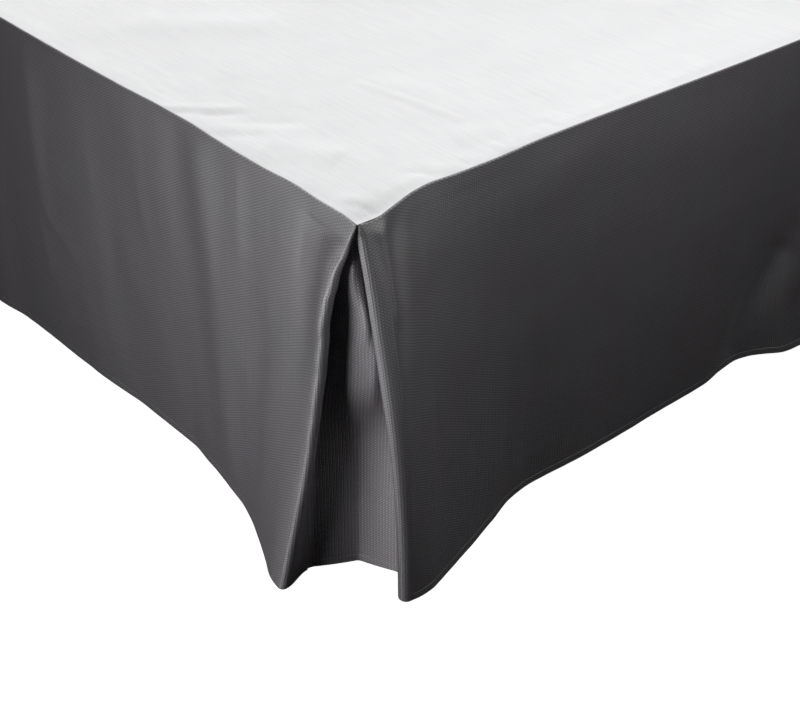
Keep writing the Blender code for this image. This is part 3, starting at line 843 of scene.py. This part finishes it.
def charcoal_basket_weave(name, repeats, painted_light_gain=1.0, ribbed=0.0):
    """A basket weave of charcoal yarn, with a soft sheen that grows at a slant."""
    material, tree, shader = new_finish(name, 0.55, 1.0)
    shader.inputs["IOR"].default_value = 2.3
    shader.inputs["Sheen Weight"].default_value = 0.06
    shader.inputs["Sheen Roughness"].default_value = 0.45
    place, across, down = cloth_places(tree)
    # threads that wander a little
    drift = work(tree, "MULTIPLY_ADD", clouds(tree, place, 90.0, 1.0), 0.0010, -0.00050)
    sideways = stretched(tree, place, (1.3, 0.8, 1.0))
    lean = work(tree, "MULTIPLY_ADD", clouds(tree, sideways, 70.0, 1.0), 0.0010, -0.00050)
    warp_turn = work(tree, "MULTIPLY", work(tree, "ADD", across, drift), 2 * math.pi / repeats[0])
    weft_turn = work(tree, "MULTIPLY", work(tree, "ADD", down, lean), 2 * math.pi / repeats[1])
    warp = work(tree, "SINE", warp_turn)
    weft = work(tree, "SINE", weft_turn)
    cell = work(tree, "MULTIPLY", warp, weft)
    over = between(tree, cell, -0.35, 0.35)
    crown = work(tree, "POWER", work(tree, "ABSOLUTE", cell), 0.55)
    # each thread differs a little from the next
    warp_tone = clouds(tree, stretched(tree, place, (420.0, 9.0, 1.0)), 1.0, 1.0)
    weft_tone = clouds(tree, stretched(tree, place, (9.0, 420.0, 1.0)), 1.0, 1.0)
    thread_tone = work(tree, "MULTIPLY", work(tree, "ADD", warp_tone, weft_tone), 0.5)
    # A gain above 1 paints the same yarns paler: painted light, not a different yarn.
    dark = tuple(painted_light_gain * c for c in DARK_YARN) + (1.0,)
    pale = tuple(painted_light_gain * c for c in PALE_YARN) + (1.0,)
    thread = mixed(tree, over, dark, pale)
    shade = between(tree, thread_tone, 0.30, 0.70, 0.84, 1.16)
    shaded = mixed(tree, 1.0, thread, shade, "MULTIPLY")
    # painted shade: the colour darkens in the weave's grooves, between the threads' crowns
    groove_shade = between(tree, crown, 0.0, 0.75, 0.36, 1.12)
    groove_shaded = mixed(tree, 1.0, shaded, groove_shade, "MULTIPLY")
    if ribbed:
        rib = between(tree, warp, -0.8, 0.8, 1.0 - ribbed, 1.0 + ribbed)
        groove_shaded = mixed(tree, 1.0, groove_shaded, rib, "MULTIPLY")
    # slow drifts of tone, warm and cool
    patch = clouds(tree, place, 9.0, 3.0)
    warm = (1.03, 0.985, 1.0, 1.0)
    cool = (0.965, 0.99, 1.03, 1.0)
    tint = mixed(tree, between(tree, patch, 0.35, 0.65), warm, cool)
    tinted = mixed(tree, 1.0, groove_shaded, tint, "MULTIPLY")
    # the stitching along the hem
    dashes = work(tree, "SINE", work(tree, "MULTIPLY", across, 2 * math.pi / STITCH))
    from_line = work(tree, "ABSOLUTE", work(tree, "SUBTRACT", down, DROP - HEM))
    line = between(tree, from_line, 0.00035, 0.0007, 1.0, 0.0)
    stitch = work(tree, "MULTIPLY", line, between(tree, dashes, -0.55, -0.2))
    sewn = mixed(tree, work(tree, "MULTIPLY", stitch, 0.6), tinted, HEM_THREAD)
    tree.links.new(sewn, shader.inputs["Base Color"])
    fuzz = clouds(tree, place, 2600.0, 2.0)
    fine = raised(tree, fuzz, 0.00010, 0.35)
    woven = raised(tree, crown, 0.00040, 0.80, fine)
    tree.links.new(raised(tree, stitch, 0.00040, 0.8, woven), shader.inputs["Normal"])
    return material


def white_cotton():
    """A fine plain weave, a little crumpled."""
    material, tree, shader = new_finish("white_cotton", 0.80, 0.25)
    shader.inputs["Sheen Weight"].default_value = 0.10
    shader.inputs["Sheen Roughness"].default_value = 0.6
    place, across, down = cloth_places(tree)
    warp = work(tree, "SINE", work(tree, "MULTIPLY", across, 2 * math.pi / COTTON_REPEAT))
    weft = work(tree, "SINE", work(tree, "MULTIPLY", down, 2 * math.pi / COTTON_REPEAT))
    crown = work(tree, "ABSOLUTE", work(tree, "MULTIPLY", warp, weft))
    tone = clouds(tree, stretched(tree, place, (260.0, 14.0, 1.0)), 1.0, 2.0)
    slow = clouds(tree, place, 7.0, 3.0)
    greyer = (0.845, 0.848, 0.86, 1.0)
    whiter = (0.885, 0.886, 0.892, 1.0)
    threads = mixed(tree, between(tree, tone, 0.3, 0.7), greyer, whiter)
    worn = mixed(tree, 1.0, threads, between(tree, slow, 0.3, 0.7, 0.975, 1.0), "MULTIPLY")
    # painted shade: the colour darkens a little in the weave's grooves, between the threads' crowns
    woven = mixed(tree, 1.0, worn, between(tree, crown, 0.0, 0.6, 0.95, 1.0), "MULTIPLY")
    tree.links.new(woven, shader.inputs["Base Color"])
    crumple = raised(tree, clouds(tree, place, 38.0, 3.0), 0.0016, 0.35)
    tree.links.new(raised(tree, crown, 0.00010, 0.5, crumple), shader.inputs["Normal"])
    return material


def base_ticking():
    """A plain woven cover, slightly slubbed."""
    material, tree, shader = new_finish("base_ticking", 0.85, 0.25)
    where = tree.nodes.new("ShaderNodeTexCoord").outputs["Object"]
    rows = clouds(tree, stretched(tree, where, (12.0, 12.0, 520.0)), 1.0, 2.0)
    columns = clouds(tree, stretched(tree, where, (520.0, 520.0, 12.0)), 1.0, 2.0)
    slub = work(tree, "ADD", work(tree, "MULTIPLY", rows, 0.5), work(tree, "MULTIPLY", columns, 0.5))
    thin = (0.47, 0.45, 0.42, 1.0)
    thick = (0.60, 0.58, 0.55, 1.0)
    tone = mixed(tree, between(tree, slub, 0.35, 0.65), thin, thick)
    tree.links.new(tone, shader.inputs["Base Color"])
    tree.links.new(raised(tree, slub, 0.0006, 0.6), shader.inputs["Normal"])
    return material


def stained_beech():
    """Stained wood with its grain running down the leg."""
    material, tree, shader = new_finish("stained_beech", 0.42, 0.45)
    shader.inputs["Coat Weight"].default_value = 0.25
    shader.inputs["Coat Roughness"].default_value = 0.25
    where = tree.nodes.new("ShaderNodeTexCoord").outputs["Object"]
    grain = clouds(tree, stretched(tree, where, (95.0, 95.0, 5.0)), 1.0, 4.0)
    flecks = clouds(tree, stretched(tree, where, (420.0, 420.0, 30.0)), 1.0, 2.0)
    late = (0.20, 0.115, 0.062, 1.0)
    early = (0.36, 0.225, 0.13, 1.0)
    wood = mixed(tree, between(tree, grain, 0.35, 0.65), late, early)
    flecked = mixed(tree, 1.0, wood, between(tree, flecks, 0.35, 0.6, 0.78, 1.0), "MULTIPLY")
    tree.links.new(flecked, shader.inputs["Base Color"])
    tree.links.new(raised(tree, flecks, 0.0003, 0.4), shader.inputs["Normal"])
    return material


# ---------------------------------------------------------------- the skirt
charcoal = charcoal_basket_weave("charcoal_basket_weave", BASKET)
# The inserts are the drops' charcoal cloth painted 1.7 times paler: painted light that brightens them
# beyond what the lamps give.
insert_charcoal_painted_paler = charcoal_basket_weave(
    "charcoal_basket_weave_ribbed_painted_paler", RIBBED_BASKET, painted_light_gain=1.70, ribbed=0.30
)
cotton = white_cotton()
ticking = base_ticking()
beech = stained_beech()

side = Hanging(SIDE_SECTIONS, SIDE_ROLL, SIDE_SEAM, SIDE_OPENING + SIDE_CREASES, SIDE_TOP_LINE)
far_side = Hanging(scaled(SIDE_SECTIONS, FAR_FLAP), SIDE_ROLL, SIDE_SEAM, SIDE_OPENING, EVEN_TOP_LINE)

# The far pleat's flap takes the first rows of the near one's. Before it the foot drop hangs straight.
FAR_FOOT_ROWS = 9
far_foot_sections = scaled(FOOT_SECTIONS[:FAR_FOOT_ROWS], FAR_FLAP)
far_start = BED_WIDTH - far_foot_sections[-1].at_hem
foot_sections = FOOT_SECTIONS + [Section(far_start, far_start, 0.000, -0.001, 0.000)]
foot = Hanging(foot_sections, FOOT_ROLL, FOOT_SEAM, FOOT_CREASES, FOOT_TOP_LINE)
far_foot = Hanging(far_foot_sections, FOOT_ROLL, FOOT_SEAM, [], EVEN_TOP_LINE)

deck(SIDE_SECTIONS, FOOT_SECTIONS, SIDE_TOP_LINE, FOOT_TOP_LINE, cotton)

seen_side = SIDE_SECTIONS[1].at_hem + stepped((0.855, 0.0058), (1.945, 0.030))
hidden_side = SIDE_SECTIONS[1].at_hem + stepped((0.30, 0.0075), (1.945, 0.026))
side_drop("left_drop_cloth", "left_drop", side, seen_side, left_side, 1.3, charcoal)
side_drop("right_drop_cloth", "right_drop", far_side, hidden_side, right_side, 31.7, charcoal)

# the near part of the foot drop and the far one, which meet 0.3 m from the far corner
FACE_START = 0.041
near_places = FACE_START + stepped((0.90, 0.0052), (1.256, 0.020))
far_places = FACE_START + stepped((0.256, 0.0075))
foot_drop(
    "foot_drop_cloth", "foot_drop", foot, far_foot, near_places, far_places, (51.1, 71.3), charcoal
)

insert("left_insert_cloth", "left_insert", side, foot, 1.0, 71.9, insert_charcoal_painted_paler)
insert("right_insert_cloth", "right_insert", far_side, far_foot, -1.0, 83.3, insert_charcoal_painted_paler)

for name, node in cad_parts.items():
    if name == "bed_base":
        node.data.materials.clear()
        node.data.materials.append(ticking)
    if name.startswith("leg_"):
        node.data.materials.clear()
        node.data.materials.append(beech)

# ---------------------------------------------------------------- floor, light and camera
CORNER = Vector((-BED_WIDTH / 2, -BED_LENGTH / 2 - MIDDLE_Y, DECK_TOP))

bpy.ops.mesh.primitive_plane_add(size=24.0, location=(0.0, 0.0, 0.0))
floor = bpy.context.object
floor.name = "floor"
floor_finish, _, floor_shader = new_finish("pale_floor", 0.9, 0.1)
floor_shader.inputs["Base Color"].default_value = (0.62, 0.62, 0.62, 1.0)
floor_shader.inputs["Emission Color"].default_value = (1.0, 1.0, 1.0, 1.0)
floor_shader.inputs["Emission Strength"].default_value = 1.0
floor.data.materials.append(floor_finish)
# Its glow is seen but lights no cloth.
floor.visible_diffuse = False
floor.visible_glossy = False

# Square lamps that face the near corner. Azimuth 0 is on the left side, 90 in front of the foot end.
Lamp = namedtuple("Lamp", "name azimuth elevation distance size power")

LAMPS = [
    Lamp("key", -6.0, -4.0, 1.1, 0.6, 8.5),
    Lamp("overhead", 245.0, 42.0, 8.0, 1.6, 710.0),
    Lamp("fill", 132.0, 36.0, 1.3, 0.7, 6.1),
]

for lamp in LAMPS:
    light = bpy.data.lights.new(lamp.name, "AREA")
    light.shape = "SQUARE"
    light.size = lamp.size
    light.energy = lamp.power
    softbox = bpy.data.objects.new(lamp.name, light)
    bpy.context.scene.collection.objects.link(softbox)
    a = math.radians(lamp.azimuth)
    e = math.radians(lamp.elevation)
    away = Vector((-math.cos(a) * math.cos(e), -math.sin(a) * math.cos(e), math.sin(e)))
    softbox.location = CORNER + away * lamp.distance
    softbox.rotation_euler = away.to_track_quat("Z", "Y").to_euler()
    softbox.visible_camera = False

world = bpy.data.worlds.new("studio")
bpy.context.scene.world = world
world.use_nodes = True
backdrop = world.node_tree.nodes["Background"]
backdrop.inputs["Color"].default_value = (1.0, 1.0, 1.0, 1.0)
backdrop.inputs["Strength"].default_value = 1.0
# It has the floor's white and lights no cloth either.
world.cycles_visibility.diffuse = False
world.cycles_visibility.glossy = False

# The camera looks down at the near corner.
camera = bpy.data.objects.new("camera", bpy.data.cameras.new("camera"))
bpy.context.scene.collection.objects.link(camera)
camera.data.lens = 69.54
camera.data.sensor_width = 36.0
camera.data.clip_start = 0.05
camera.location = CORNER + Vector((-0.8899, -1.1277, 0.7600))
camera.rotation_euler = (math.radians(90.0 - 33.04), 0.0, math.radians(-40.45))
bpy.context.scene.camera = camera

bpy.context.scene.view_settings.view_transform = "Standard"
bpy.context.scene.view_settings.look = "None"
